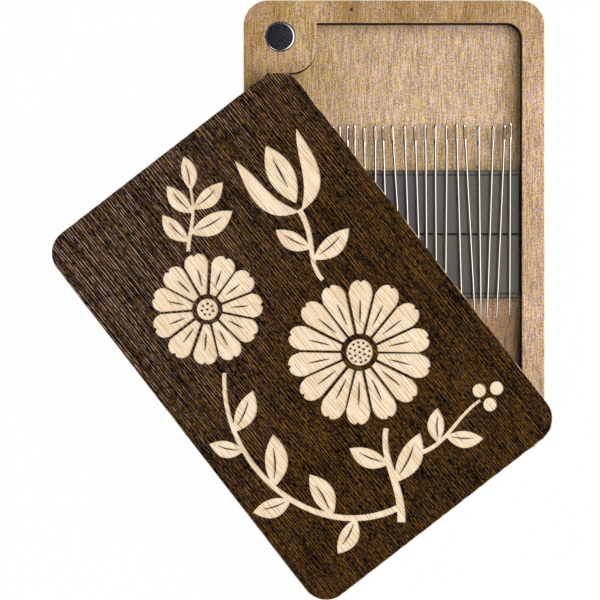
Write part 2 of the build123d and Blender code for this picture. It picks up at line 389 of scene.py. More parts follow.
def stainedFace(name, turn, wearAndHighlight=0.0):
    # dark stain that the grain takes unevenly, with fine raised fibres that stayed lighter, and on a rim
    # lighter patches of wear and painted highlight
    material, graph = newMaterial(name)
    space = millimetres(graph, turn)
    cloud, streak, grit, hue, speck, breaks, rubbed = graph.layers(space, stain["layers"])
    x, y = graph.parts(millimetres(graph))[:2]
    # the stain lighter, bluer and more lined towards the left and a little up
    leftward = graph.step(y * stain["leftwardSlant"] - x, *stain["leftwardShows"])
    shares = [stain[name] for name in ("lineShare", "violetShare", "fibreShare")]
    lineShare, violetShare, fibreShare = [right + leftward * more for right, more in shares]
    lines = graph.ruled(space, stain["lines"])
    parts = ((lines - 0.5) * lineShare, streak, grit, speck, cloud - 0.5, leftward)
    tone = graph.blend(parts, stain["grainShares"])
    full = graph.shown(tone, stain["brown"])
    ochre = graph.shown(tone, stain["ochre"]) * graph.step(hue, *stain["ochreHue"])
    bluish = graph.shown(hue, stain["violet"]) * full * violetShare
    unbroken = graph.step(breaks + leftward * stain["leftwardBreaks"], *stain["fibreUnbroken"])
    fibre = graph.shown(lines, stain["fibre"]) * unbroken * fibreShare
    # on the rim: lighter patches, wear and a painted highlight where the eased edge catches the light
    wornAndLit = graph.shown(rubbed, stain["wornAndLit"]) * wearAndHighlight
    colour = graph.mix(full, stain["dark"], stain["brown"]["colour"])
    colour = graph.mix(ochre, colour, stain["ochre"]["colour"])
    colour = graph.mix(bluish, colour, stain["violet"]["colour"])
    colour = graph.mix(fibre, colour, graph.mix(leftward, stain["warmest"], stain["palest"]))
    colour = graph.mix(wornAndLit, colour, stain["wornAndLit"]["colour"])
    finish(graph, colour, stain, streak + lines, streak)
    return material


bareBirch = {
    "layers": {
        "cloud": (4.0, 8.0, 1.0, 61.0),
        "fibre": (0.13, 8.0, 0.0, 67.0),
        "hue": (0.14, 0.28, 0.0, 73.0),
        "breaks": (0.3, 3.0, 0.0, 79.0),
    },
    "lines": ((0.56, 71.0, 0.6), (0.72, 77.0, 0.4)),
    "shade": (0.80, 0.56, 0.30, 1),
    "light": {"shows": (0.30, 0.60), "share": 1.0, "colour": (1.00, 0.86, 0.64, 1)},
    "ochre": {"shows": (0.48, 0.70), "share": 0.3, "colour": (0.84, 0.64, 0.40, 1)},
    "rosy": {"shows": (0.52, 0.68), "share": 0.5, "colour": (1.00, 0.78, 0.68, 1)},
    "scorch": {"shows": (0.50, 0.95), "share": 0.70, "colour": (0.48, 0.29, 0.14, 1)},
    "scorchUnbroken": (0.36, 0.54),
    "roughness": 0.7, "roughened": 0.1, "specular": 0.2, "relief": 0.012,
}


def engravedFace(name, turn):
    # bare birch under the stain, a little scorched along its fibres
    material, graph = newMaterial(name)
    space = millimetres(graph, turn)
    cloud, fibre, hue, breaks = graph.layers(space, bareBirch["layers"])
    colour = graph.coats(bareBirch["shade"], bareBirch, {"light": fibre, "ochre": cloud, "rosy": hue})
    line = graph.shown(graph.ruled(space, bareBirch["lines"]), bareBirch["scorch"])
    line = line * graph.step(breaks, *bareBirch["scorchUnbroken"])
    colour = graph.coated(colour, line, bareBirch["scorch"])
    finish(graph, colour, bareBirch, fibre, fibre)
    return material


def coatedFace(name, look):
    # coats over a base colour, each by the layer of its own name, of which the first roughens it too
    material, graph = newMaterial(name)
    levels = dict(zip(look["layers"], graph.layers(millimetres(graph), look["layers"])))
    first = next(iter(levels.values()))
    finish(graph, graph.coats(look["base"], look, levels), look, first, first)
    return material


# the magnet's face: near-black with lighter and bluish specks, a painted reflection of the dark camera above
# it
nickelPaintedReflection = {
    "layers": {"light": (0.16, 0.16, 2.0, 83.0), "bluish": (0.35, 0.35, 2.0, 89.0)},
    "base": (0.010, 0.010, 0.010, 1),
    "light": {"shows": (0.40, 0.70), "share": 1.0, "colour": (0.060, 0.056, 0.052, 1)},
    "bluish": {"shows": (0.50, 0.66), "share": 0.6, "colour": (0.036, 0.042, 0.120, 1)},
    "metallic": 1.0, "roughness": 0.42, "roughened": 0.1, "relief": 0.004,
}
film = {
    "layers": {"light": (0.4, 1.5, 2.0, 109.0)},
    "base": (0.60, 0.57, 0.50, 1),
    "light": {"shows": (0.35, 0.65), "share": 1.0, "colour": (0.72, 0.69, 0.62, 1)},
    "roughness": 0.6, "relief": 0.01,
}
polish = {
    "layers": {"light": (0.08, 0.9, 2.0, 97.0)},
    "shows": (0.3, 0.7),
    "darker": 0.93,
    "metallic": 1.0, "roughened": 0.08, "relief": 0.002,
}


def brightMetal(name, colour, roughness):
    base = (*[channel * polish["darker"] for channel in colour[:3]], 1)
    light = {"shows": polish["shows"], "share": 1.0, "colour": colour}
    return coatedFace(name, {**polish, "base": base, "light": light, "roughness": roughness})


sheet = {
    "layers": {
        "speck": (0.18, 0.18, 2.0, 101.0),
        "rolled": (6.0, 0.30, 2.0, 103.0),
        "cloud": (8.0, 8.0, 1.0, 107.0),
    },
    "speckShows": (0.35, 0.65),
    "grey": ((0.082, 0.072, 0.062, 1), (0.155, 0.138, 0.120, 1)),
    "bluish": ((0.072, 0.058, 0.072, 1), (0.138, 0.116, 0.130, 1)),
    "bluishShows": (24.0, 8.0),      # in X, which the clouds move
    "cloudReach": 16.0,
    "bluishShare": 0.8,
    "roughness": 0.55, "roughened": 0.2, "specular": 0.25, "relief": 0.010,
}


def magnetSheet(name, level=1.0):
    # flexible magnet: matt, rolled across its width, darker and bluish towards the left by the lid as painted
    # shade
    material, graph = newMaterial(name)
    space = millimetres(graph)
    speck, rolled, cloud = graph.layers(space, sheet["layers"])
    speckled = graph.step(speck, *sheet["speckShows"])
    grey, bluish = [graph.mix(speckled, *sheet[tint]) for tint in ("grey", "bluish")]
    # painted shade: the darker bluish tones towards the left, by the lid
    left = graph.step(graph.parts(space)[0] + cloud * sheet["cloudReach"], *sheet["bluishShows"])
    colour = graph.scaled(graph.mix(left * sheet["bluishShare"], grey, bluish), level)
    finish(graph, colour, sheet, speck + rolled, speck)
    return material


frameBirch = birchFace("birch_frame_face", birchTones["frame"])
# painted highlight: the lighter birch of the frame's eased upper edges
frameRimHighlight = birchFace("birch_frame_rim_highlight", birchTones["rim"])
floorBirch = birchFace("birch_floor_face", birchTones["floor"])
lidUnderside = birchFace("birch_lid_underside", birchTones["frame"], lidSwing)
baseEdge = charredEdge("birch_base_edge", 0.0, charred["basePly"])
lidEdge = charredEdge("birch_lid_edge", lidLow.z, (lidHigh.z - lidLow.z) / charred["lidPlies"], lidSwing)
stainedTop = stainedFace("stained_lid_face", lidGrain)
# the lid's eased rim: the stain with lighter patches, wear and a painted highlight where the edge catches the
# light
lidRim = stainedFace("stained_lid_rim", lidGrain, wearAndHighlight=0.65)
engravedFloor = engravedFace("engraved_lid_face", lidGrain)
nickelFace = coatedFace("magnet_face", nickelPaintedReflection)
nickelRim = brightMetal("magnet_rim", (0.50, 0.49, 0.47, 1), roughness=0.04)
needleSteel = brightMetal("needle_steel_polish", (0.50, 0.46, 0.41, 1), roughness=0.06)
sheetGrey = magnetSheet("magnetic_sheet_face")
# the strips' walls and eased edges: the sheet at a quarter of its brightness, painted shade along the edges
sheetEdgeShade = magnetSheet("magnetic_sheet_edge_shade", level=0.25)
filmWhite = coatedFace("adhesive_film_face", film)
print("finishes made")


# Drawing and building

def arc(middle, radius, start, turn, steps):
    # points round a corner, by angles in degrees
    for number in range(steps + 1):
        angle = radians(start + turn * number / steps)
        yield (middle[0] + radius * cos(angle), middle[1] + radius * sin(angle))


def circle(radius, steps, middle=(0, 0)):
    return list(arc(middle, radius, 0, 360 - 360 / steps, steps - 1))


def roundedRectangle(width, length, radius, steps):
    points = []
    for quarter, (side, end) in enumerate(((1, 1), (-1, 1), (-1, -1), (1, -1))):
        middle = (side * (width / 2 - radius), end * (length / 2 - radius))
        points += arc(middle, radius, quarter * 90, 90, steps)
    return points


def bezierPoint(controls, along):
    points = [Vector(point) for point in controls]
    while len(points) > 1:
        points = [a.lerp(b, along) for a, b in zip(points, points[1:])]
    return points[0]


def newPiece(name, data, materials=()):
    for material in materials:
        data.materials.append(material)
    piece = bpy.data.objects.new(name, data)
    bpy.context.scene.collection.objects.link(piece)
    return piece


def plateMesh(name, outlines, bottom, top, edgeRound):
    # a board cut along the outlines, of which all but the first are holes, with its edges eased
    curve = bpy.data.curves.new(name, "CURVE")
    curve.dimensions = "2D"
    curve.fill_mode = "BOTH"
    curve.extrude = (top - bottom) / 2 - edgeRound
    curve.bevel_depth = edgeRound
    curve.bevel_resolution = 0
    curve.offset = -edgeRound
    for outline in outlines:
        spline = curve.splines.new("POLY")
        spline.points.add(len(outline) - 1)
        spline.use_cyclic_u = True
        for point, (x, y) in zip(spline.points, outline):
            point.co = (x, y, 0, 1)
    holder = newPiece(name, curve)
    mesh = evaluated(holder)
    bpy.data.objects.remove(holder)
    mesh.transform(shift(z=(top + bottom) / 2))
    tidyMesh(mesh)
    return mesh


def evaluated(piece):
    bpy.context.view_layer.update()
    graph = bpy.context.evaluated_depsgraph_get()
    return bpy.data.meshes.new_from_object(piece.evaluated_get(graph), depsgraph=graph)


def opened(*meshes):
    work = bmesh.new()
    for mesh in meshes:
        work.from_mesh(mesh)
    return work


def closed(work, mesh=None):
    # the work as a mesh, with its faces outwards
    mesh = mesh or bpy.data.meshes.new("solid")
    bmesh.ops.recalc_face_normals(work, faces=work.faces)
    work.to_mesh(mesh)
    work.free()
    return mesh


def tidyMesh(mesh, reach=0.0005):
    work = opened(mesh)
    bmesh.ops.remove_doubles(work, verts=work.verts, dist=reach)
    bmesh.ops.dissolve_degenerate(work, edges=work.edges, dist=reach)
    closed(work, mesh)


def prism(outline, bottom, top):
    # a closed block over one outline
    work = bmesh.new()
    lower = [work.verts.new((x, y, bottom)) for x, y in outline]
    upper = [work.verts.new((x, y, top)) for x, y in outline]
    work.faces.new(lower)
    work.faces.new(upper)
    for number in range(len(outline)):
        after = (number + 1) % len(outline)
        work.faces.new((lower[number], lower[after], upper[after], upper[number]))
    return closed(work)


def skinned(rings):
    # a closed solid over rings of points, of which the first and the last are one point each
    work = bmesh.new()
    steps = len(rings[1])
    corners = []
    for ring in rings:
        corners.append([work.verts.new(point) for point in ring] * (steps // len(ring)))
    for ring, following in zip(corners, corners[1:]):
        for number in range(steps):
            after = (number + 1) % steps
            around = (ring[number], ring[after], following[after], following[number])
            work.faces.new(list(dict.fromkeys(around)))
    return closed(work)


def joined(meshes):
    return closed(opened(*meshes))


def shift(x=0.0, y=0.0, z=0.0):
    return Matrix.Translation((x, y, z))


def moved(mesh, matrix):
    copy = mesh.copy()
    copy.transform(matrix)
    return copy


def cutMesh(mesh, cutter):
    # mesh less cutter, whose own blocks may overlap
    body = newPiece("cutBody", mesh)
    tool = newPiece("cutTool", cutter)
    cut = body.modifiers.new("cut", "BOOLEAN")
    cut.operation = "DIFFERENCE"
    cut.solver = "EXACT"
    cut.use_self = True
    cut.object = tool
    result = evaluated(body)
    bpy.data.objects.remove(body)
    bpy.data.objects.remove(tool)
    tidyMesh(result, 0.0002)
    return result


def paintFaces(mesh, materials, choose):
    # choose gives a face's material from its middle and its normal
    for face in mesh.polygons:
        face.material_index = materials.index(choose(face.center, face.normal))


def seat(name, mesh, materials, body, nodes, smoothBelow=15):
    # the finished piece, in metres, on its body
    mesh.transform(Matrix.Scale(mm, 4))
    mesh.shade_smooth()
    mesh.set_sharp_from_angle(angle=radians(smoothBelow))
    piece = newPiece(name, mesh, materials)
    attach(piece, body)
    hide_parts(*nodes)
    return piece


# Base: two boards glued together, the upper one cut out for the recess and the two magnets

boards = {                   # what the base and the lid share
    "cornerRadius": 5.0,
    "cornerSteps": 16,
    "boreRadius": 3.05,
    "boreSteps": 64,
    "upwards": 0.5,          # how far up a face looks to count as an eased upper edge
}
baseBoards = {
    **boards,
    "border": 4.5,
    "recessCorner": 3.2,
    "bossSize": 14.5,
    "bossCorner": 5.25,
    "edgeRound": 0.14,
    "flat": 0.95,            # how far a face looks up or down to count as the board's face
}


def recessOutline(settings):
    # half of it, then the same again turned by half a turn
    corner, bossCorner, steps = settings["recessCorner"], settings["bossCorner"], settings["cornerSteps"]
    right = caseWidth / 2 - settings["border"]
    top = caseLength / 2 - settings["border"]
    bossX = settings["bossSize"] - caseWidth / 2
    bossY = caseLength / 2 - settings["bossSize"]
    half = list(arc((right - corner, top - corner), corner, 0, 90, steps))
    half.append((bossX, top))
    half += arc((bossX - bossCorner, bossY + bossCorner), bossCorner, 0, -90, steps)
    half.append((-right, bossY))
    return half + [(-x, -y) for x, y in half]


def boardFinish(normal, face, rim):
    # of a board's face, its eased upper edge or its burnt wall
    if abs(normal.z) > baseBoards["flat"]:
        return face
    return rim if normal.z > baseBoards["upwards"] else baseEdge


def buildBase(settings):
    outline = roundedRectangle(caseWidth, caseLength, settings["cornerRadius"], settings["cornerSteps"])
    places = (closingPlace, pivotPlace)
    bores = [circle(settings["boreRadius"], settings["boreSteps"], place) for place in places]
    lower = plateMesh("lower", [outline], baseLow.z, baseHigh.z, settings["edgeRound"])
    outlines = [outline, recessOutline(settings), *bores]
    upper = plateMesh("upper", outlines, frameLow.z, frameHigh.z, settings["edgeRound"])
    materials = (floorBirch, baseEdge)
    paintFaces(lower, materials, lambda middle, normal: boardFinish(normal, floorBirch, baseEdge))
    seat("base_floor_board", lower, materials, "base", ["base_plate"])
    materials = (frameBirch, baseEdge, frameRimHighlight)
    paintFaces(upper, materials, lambda middle, normal: boardFinish(normal, frameBirch, frameRimHighlight))
    seat("base_frame_board", upper, materials, "base", ["base_frame"])


buildBase(baseBoards)
print("base boards made")


# Magnets: nickel-plated discs with rounded rims

magnetDiscs = {"radius": 3.0, "rim": 0.36, "rimSteps": 6, "steps": 96, "flat": 0.99}


def discMesh(settings, bottom, top):
    # turned about Z
    rim, steps = settings["rim"], settings["rimSteps"]
    inside = settings["radius"] - rim
    lower = arc((inside, bottom + rim), rim, -90, 90, steps)
    upper = arc((inside, top - rim), rim, 0, 90, steps)
    rings = [[(0, 0, bottom)]]
    for radius, height in (*lower, *upper):
        rings.append([(x, y, height) for x, y in circle(radius, settings["steps"])])
    return skinned([*rings, [(0, 0, top)]])


def buildMagnets(settings):
    materials = (nickelFace, nickelRim)
    inside = settings["radius"] - settings["rim"]

    def choose(middle, normal):
        isFace = abs(normal.z) > settings["flat"] and middle.xy.length < inside
        return nickelFace if isFace else nickelRim

    for node in ("base_closing_magnet", "base_pivot_magnet", "lid_closing_magnet", "lid_pivot_magnet"):
        body = node.split("_")[0]
        low, high = cornersOf(node)
        mesh = discMesh(settings, low.z, high.z)
        paintFaces(mesh, materials, choose)
        mesh.transform(shift((low.x + high.x) / 2, (low.y + high.y) / 2))
        seat(f"{node}_disc", mesh, materials, body, [node], smoothBelow=40)


buildMagnets(magnetDiscs)
print("magnets made")


# Magnetic strips: cut lengths with eased edges and a fine groove, and the film under them

stripSheets = {
    "edge": 0.16, "edgeBulge": 0.3,
    "grooveInset": 0.9, "grooveWidth": 0.24, "grooveDepth": 0.16,
    "flat": 0.9, "faceDepth": 0.01,          # how far up a face looks, and lies, to be the sheet's face
}


def stripSection(settings, low, high, side):
    # in Y and Z; side tells which edge the groove is near
    edge, bulge = settings["edge"], settings["edge"] * settings["edgeBulge"]
    start = [(low.y, low.z), (low.y, high.z - edge), (low.y + bulge, high.z - bulge), (low.y + edge, high.z)]
    middle = (high.y if side > 0 else low.y) - side * settings["grooveInset"]
    half = settings["grooveWidth"] / 2
    floor = high.z - settings["grooveDepth"]
    left, right = middle - half, middle + half
    groove = [(left, high.z), (left, floor), (right, floor), (right, high.z)]
    return start + groove + [(low.y + high.y - y, z) for y, z in reversed(start)]


def buildStrips(settings):
    materials = (sheetGrey, sheetEdgeShade)
    upright = Matrix(((0, 0, 1, 0), (1, 0, 0, 0), (0, 1, 0, 0), (0, 0, 0, 1)))       # the section's Z along X
    for word, side in (("upper", 1), ("lower", -1)):
        node = f"{word}_magnetic_strip"
        low, high = cornersOf(node)
        mesh = prism(stripSection(settings, low, high, side), low.x, high.x)
        mesh.transform(upright)
        face = high.z - settings["faceDepth"]

        def choose(middle, normal):
            return sheetGrey if normal.z > settings["flat"] and middle.z > face else sheetEdgeShade

        paintFaces(mesh, materials, choose)
        seat(f"{word}_strip_sheet", mesh, materials, "base", [node], smoothBelow=30)
        adhesive = frame["nodes"][f"{word}_strip_adhesive"].data
        adhesive.materials.clear()
        adhesive.materials.append(filmWhite)


buildStrips(stripSheets)
print("strips made")


# Needles: a round shank, a stamped eye with a gutter above and below it, and a long point

needleShape = {
    "count": 25,
    "length": 39.0, "diameter": 0.55, "sides": 14,
    "pointLength": 6.0, "pointCurve": 0.5,
    "eyeWidth": 0.8, "eyeThickness": 0.5,
    "crown": 0.9, "crownCurve": 0.6,         # the rounded end beyond the eye
    "neckStart": 2.9, "neckEnd": 4.8,
    "slotWidth": 0.36, "slotStart": 0.67, "slotEnd": 3.18, "slotSteps": 8,
    "eyeStations": (0.02, 0.08, 0.18, 0.32, 0.5, 0.7, 0.9, 1.5, 2.2, 2.9, 3.3, 3.7, 4.1, 4.5, 4.9),
    "shankStations": (12.0, 20.0, 27.0),
    "pointStations": (0, 0.2, 0.4, 0.6, 0.75, 0.87, 0.95, 0.99),         # shares of the point
    "endReach": 0.05,        # what lies this near an end counts as the end
    "rolls": {9: 34, 13: 18, 14: -20, 16: 12, 17: 35, 18: -26, 19: 36, 21: 12, 22: -14, 24: 10},
}


def easeBetween(value, low, high):
    share = min(max((value - low) / (high - low), 0), 1)
    return share * share * (3 - 2 * share)


def needleWidths(settings, along):
    # width and thickness at a distance from the end of the eye
    neck = easeBetween(along, settings["neckStart"], settings["neckEnd"])
    width = settings["eyeWidth"] + (settings["diameter"] - settings["eyeWidth"]) * neck
    thickness = settings["eyeThickness"] + (settings["diameter"] - settings["eyeThickness"]) * neck
    crown = min(along / settings["crown"], 1)
    rounding = (1 - (1 - crown) ** 2) ** 0.5
    taper = min((settings["length"] - along) / settings["pointLength"], 1) ** settings["pointCurve"]
    return width * rounding * taper, thickness * rounding ** settings["crownCurve"] * taper


def needleMesh(settings):
    start = settings["length"] - settings["pointLength"]
    stations = [*settings["eyeStations"], *settings["shankStations"]]
    stations += [start + settings["pointLength"] * share for share in settings["pointStations"]]
    rings = []
    for along in stations:
        width, thickness = needleWidths(settings, along)
        rings.append([(width * x, -along, thickness * z) for x, z in circle(0.5, settings["sides"])])
    blank = skinned([[(0, 0, 0)], *rings, [(0, -settings["length"], 0)]])
    half, steps = settings["slotWidth"] / 2, settings["slotSteps"]
    slotOutline = [
        *arc((0, -settings["slotStart"] - half), half, 0, 180, steps),
        *arc((0, half - settings["slotEnd"]), half, 180, 180, steps),
    ]
    return cutMesh(blank, prism(slotOutline, -settings["eyeWidth"], settings["eyeWidth"]))


def buildNeedles(settings):
    shape = needleMesh(settings)
    for number in range(1, settings["count"] + 1):
        node = f"needle_{number:02d}"
        low, high = cornersOf(node)
        eyeEnd, pointEnd = needleEnds(node, settings["endReach"])
        lean = atan2(pointEnd.x - eyeEnd.x, eyeEnd.y - pointEnd.y)
        place = shift(eyeEnd.x, eyeEnd.y, (low.z + high.z) / 2)
        roll = Matrix.Rotation(radians(settings["rolls"].get(number, 0)), 4, "Y")
        mesh = moved(shape, place @ Matrix.Rotation(lean, 4, "Z") @ roll)
        seat(f"{node}_polished", mesh, (needleSteel,), "base", [node], smoothBelow=50)


def needleEnds(node, reach):
    # middles of the eye end and of the point, from the node's highest and lowest points along Y
    points = [vertex.co / mm for vertex in frame["nodes"][node].data.vertices]
    ends = []
    for pick in (max, min):
        edge = pick(point.y for point in points)
        there = [point for point in points if abs(point.y - edge) < reach]
        ends.append(sum(there, Vector()) / len(there))
    return ends


buildNeedles(needleShape)
print("needles made")


# Lid: one board, engraved through its stain

lidBoard = {
    **boards,
    "margin": 0.01,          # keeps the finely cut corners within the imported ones
    "edgeRound": 0.15,
    "boreBelow": 1.0,
    "spigot": 0.8,
    "skin": 1.0,
    "engraving": 0.2,
    "faceDepth": 0.05,       # faces that look up are the lid's face down to here,
    "floorDepth": 0.5,       # the engraving's floor down to here, and its rim where they slant
    "flat": 0.9,
}
blocks = {"above": 0.5, "past": 0.1}     # how far the cutting blocks stand above the lid, and past each other

# The flowers, placed from the middle of the closed lid
largeDaisy = {
    "middle": (7.0, -9.5), "petals": 14, "eye": 2.6, "inner": 3.7, "outer": 14.5,
    "dots": ((1.05, 6), (1.95, 12)), "seed": 5,          # radius and count of each ring of dots
}
smallDaisy = {
    "middle": (-11.5, 15.5), "petals": 11, "eye": 2.1, "inner": 3.0, "outer": 11.2,
    "dots": ((1.1, 7),), "seed": 8,
}
sideTulip = {"foot": (14.8, 19.5), "turn": 80, "length": 15.0, "width": 12.5}
berryCluster = {"middle": (22.0, -31.6), "radius": 1.35, "spread": 2.0, "count": 3, "steps": 48}
daisyShape = {
    "line": 0.5,             # between two petals
    "shoulder": 0.74, "endCurve": 2.4, "endSteps": 20,
    "notch": 0.5, "notchWidth": 0.2,
    "unevenness": 0.035,
    "veinStart": 0.2, "veinLength": 0.42,    # shares of the petal
    "veinWidth": 0.26, "veinSteps": 8,
    "eyeSteps": 60, "dotRadius": 0.22, "dotSteps": 12,
}

# Stalks: four control points, a width for each end, and each leaf's place, angle, length and width
stalks = (
    {
        "path": ((-7.0, -41.0), (-2.0, -35.0), (-3.0, -29.0), (2.0, -24.5)),
        "widths": (1.7, 1.1),
        "leaves": ((0.42, -44, 11.0, 4.6), (0.62, 52, 8.5, 3.8)),
    },
    {
        "path": ((-5.4, -38.4), (-23.0, -35.0), (-29.0, -11.0), (-16.5, 3.6)),
        "widths": (1.3, 0.9),
        "leaves": (
            (0.17, 60, 8.0, 3.8),
            (0.26, -50, 9.5, 4.4),
            (0.43, 50, 8.0, 3.8),
            (0.51, -48, 10.5, 4.6),
            (0.69, 48, 7.0, 3.4),
            (0.77, -46, 9.0, 4.0),
        ),
    },
    {
        "path": ((10.0, 6.2), (9.5, 11.0), (14.0, 13.0), (14.8, 20.0)),
        "widths": (0.9, 1.2),
        "leaves": ((0.3, -60, 9.5, 4.0), (0.45, 55, 8.0, 3.6)),
    },
    {
        "path": ((-7.5, 26.8), (-5.0, 30.0), (-2.0, 31.0), (0.5, 36.5)),
        "widths": (0.9, 0.6),
        "leaves": (
            (0.15, 52, 7.5, 3.4),
            (0.28, -52, 9.5, 4.2),
            (0.6, 46, 7.5, 3.4),
            (0.66, -48, 8.0, 3.6),
            (0.95, 0, 7.0, 3.1),
        ),
    },
    {
        "path": ((1.0, -30.5), (8.0, -36.0), (13.0, -31.0), (20.0, -31.5)),
        "widths": (1.0, 0.6),
        "leaves": ((0.4, 52, 7.0, 3.4), (0.5, -50, 7.5, 3.4)),
    },
)
leafShape = {
    "curl": 0.12, "steps": 10,
    "ribStart": 0.16, "ribEnd": 0.74, "ribWidth": 0.06, "ribCurl": 0.06, "ribSteps": 6, "ribHeight": 1.0,
}
tulipShape = {
    "middleStart": 0.12,
    "middleSize": (0.86, 0.42),
    "tip": (1.0, 0.55),
    "outerSide": ((0.04, 0.72), (0.62, 0.60)),
    "innerSide": ((0.36, 0.40), (0.66, 0.30)),
    "steps": 16,
    "veinStart": 0.28, "veinLength": 0.5, "veinWidth": 0.28, "veinSteps": 8,
}

floorHeight = lidHigh.z - lidBoard["engraving"]
aboveLid = lidHigh.z + blocks["above"]


def lens(length, width, bend, steps):
    # from the origin along X, between two arches whose middles stand width apart
    upper = []
    lower = []
    for number in range(steps + 1):
        share = number / steps
        arch = 4 * share * (1 - share)
        upper.append((length * share, (bend + width / 2) * arch))
        lower.append((length * share, (bend - width / 2) * arch))
    return lower + upper[-2:0:-1]


def petalOutline(shape, inner, outer, petals):
    spread = tan(pi / petals)
    shoulder = inner + shape["shoulder"] * (outer - inner)
    heelWidth = inner * spread - shape["line"] / 2
    shoulderWidth = shoulder * spread - shape["line"] / 2
    points = [(inner, heelWidth), (inner, -heelWidth)]
    for number in range(shape["endSteps"] + 1):
        across = 2 * number / shape["endSteps"] - 1
        bulge = (1 - abs(across) ** shape["endCurve"]) ** 0.5
        dip = shape["notch"] * max(0.0, 1 - abs(across) / shape["notchWidth"])
        points.append((shoulder + (outer - shoulder) * bulge - dip, across * shoulderWidth))
    return points


def newTree(name, inputs):
    # the graph of a tree with named inputs, and the inputs as wires
    tree = bpy.data.node_groups.new(name, "GeometryNodeTree")
    graph = Graph(tree)
    for inputName, kind in inputs.items():
        tree.interface.new_socket(inputName, in_out="INPUT", socket_type=f"NodeSocket{kind}")
    tree.interface.new_socket("Geometry", in_out="OUTPUT", socket_type="NodeSocketGeometry")
    source = tree.nodes.new("NodeGroupInput")
    return graph, {socket.name: Wire(graph, socket) for socket in source.outputs if socket.name}


def onPoints(graph, points, block, turn, size):
    # an object on each point, turned about Z
    shape = graph.node("GeometryNodeObjectInfo", {"Object": block}, "Geometry")
    values = {
        "Points": points,
        "Instance": shape,
        "Rotation": graph.combined(z=turn),
        "Scale": graph.combined(*size),
    }
    return graph.node("GeometryNodeInstanceOnPoints", values)


def finishTree(graph, geometry, material):
    real = graph.node("GeometryNodeRealizeInstances", {"Geometry": geometry})
    painted = graph.node("GeometryNodeSetMaterial", {"Geometry": real, "Material": material})
    graph.node("NodeGroupOutput", {"Geometry": painted})
    return graph.tree


def ringTree(turnShare=0.35):
    # Count copies of a block round a middle, each a little longer or shorter and turned
    graph, given = newTree("ringOfBlocks", {
        "Block": "Object",
        "Count": "Int",
        "Radius": "Float",
        "Middle": "Vector",
        "Unevenness": "Float",
        "Seed": "Int",
        "Material": "Material",
    })
    index = graph.node("GeometryNodeInputIndex")
    angle = index * (2 * pi) / given["Count"]
    cosine, sine = [graph.math(operation, angle) * given["Radius"] for operation in ("COSINE", "SINE")]
    position = graph.vector("ADD", [graph.combined(cosine, sine), given["Middle"]])
    points = graph.node("GeometryNodePoints", {"Count": given["Count"], "Position": position})
    spread = given["Unevenness"]
    values = {"Min": 1 - spread, "Max": 1.0, "ID": index, "Seed": given["Seed"]}
    stretch = graph.node("FunctionNodeRandomValue", values, "Value")
    values = {"Min": -1 * spread, "Max": spread, "ID": index, "Seed": given["Seed"] + 1}
    wobble = graph.node("FunctionNodeRandomValue", values, "Value")
    copies = onPoints(graph, points, given["Block"], angle + wobble * turnShare, (stretch, 1.0, 1.0))
    return finishTree(graph, copies, given["Material"])


stalkControls = ("Start", "Start Handle", "End Handle", "End")
leafColumns = ("place", "turn", "length", "across")


def sprigTree(steps=28, weld=0.0005):
    # Leaves along a stalk: the tree's own points carry each leaf's place, turn, length and width
    graph, given = newTree("leavesAlongStalk", {
        "Geometry": "Geometry",
        "Block": "Object",
        **dict.fromkeys(stalkControls, "Vector"),
        "Start Width": "Float",
        "End Width": "Float",
        "Thickness": "Float",
        "Material": "Material",
    })
    values = {"Resolution": steps, **{name: given[name] for name in stalkControls}}
    path = graph.node("GeometryNodeCurvePrimitiveBezierSegment", values, mode="POSITION")
    flat = graph.node("GeometryNodeSetCurveNormal", {"Curve": path}, mode="Z_UP")
    along = graph.node("GeometryNodeSplineParameter", {}, "Factor")
    width = given["Start Width"] + (given["End Width"] - given["Start Width"]) * along
    values = {"Start": (-0.5, 0, 0), "End": (0.5, 0, 0)}
    profile = graph.node("GeometryNodeCurvePrimitiveLine", values)
    values = {"Curve": flat, "Profile Curve": profile, "Scale": width}
    ribbon = graph.node("GeometryNodeCurveToMesh", values)
    lift = graph.combined(z=given["Thickness"])
    values = {"Mesh": ribbon, "Offset": lift, "Offset Scale": 1.0, "Individual": False}
    raised = graph.node("GeometryNodeExtrudeMesh", values)
    stalk = graph.node("GeometryNodeJoinGeometry", {"Geometry": [raised, ribbon]})
    sealed = graph.node("GeometryNodeMergeByDistance", {"Geometry": stalk, "Distance": weld})
    place, turn, length, across = [
        graph.node("GeometryNodeInputNamedAttribute", {"Name": name}, "Attribute", data_type="FLOAT")
        for name in leafColumns
    ]
    values = {"Curves": path, "Factor": place}
    sampled = graph.node("GeometryNodeSampleCurve", values, "Position", mode="FACTOR")
    ahead, sideways = graph.parts(Wire(graph, sampled.socket.node.outputs["Tangent"]))[:2]
    values = {"Geometry": given["Geometry"], "Position": sampled}
    rooted = graph.node("GeometryNodeSetPosition", values)
    points = graph.node("GeometryNodeMeshToPoints", {"Mesh": rooted})
    heading = graph.math("ARCTAN2", sideways, ahead) + turn
    leaves = onPoints(graph, points, given["Block"], heading, (length, across, 1.0))
    whole = graph.node("GeometryNodeJoinGeometry", {"Geometry": [leaves, sealed]})
    return finishTree(graph, whole, given["Material"])


ringOfBlocks = ringTree()
leavesAlongStalk = sprigTree()


def grown(tree, mesh, block, inputs):
    # the plain mesh that a tree makes from a mesh, a block to repeat and its other inputs
    holder = newPiece("grower", mesh)
    blockHolder = newPiece("block", block)
    inputs = {**inputs, "Block": blockHolder, "Material": engravedFloor}
    modifier = holder.modifiers.new("grow", "NODES")
    modifier.node_group = tree
    for item in tree.interface.items_tree:
        if item.in_out == "INPUT" and item.name in inputs:
            modifier[item.identifier] = inputs[item.name]
    made = evaluated(holder)
    bpy.data.objects.remove(holder)
    bpy.data.objects.remove(blockHolder)
    return made


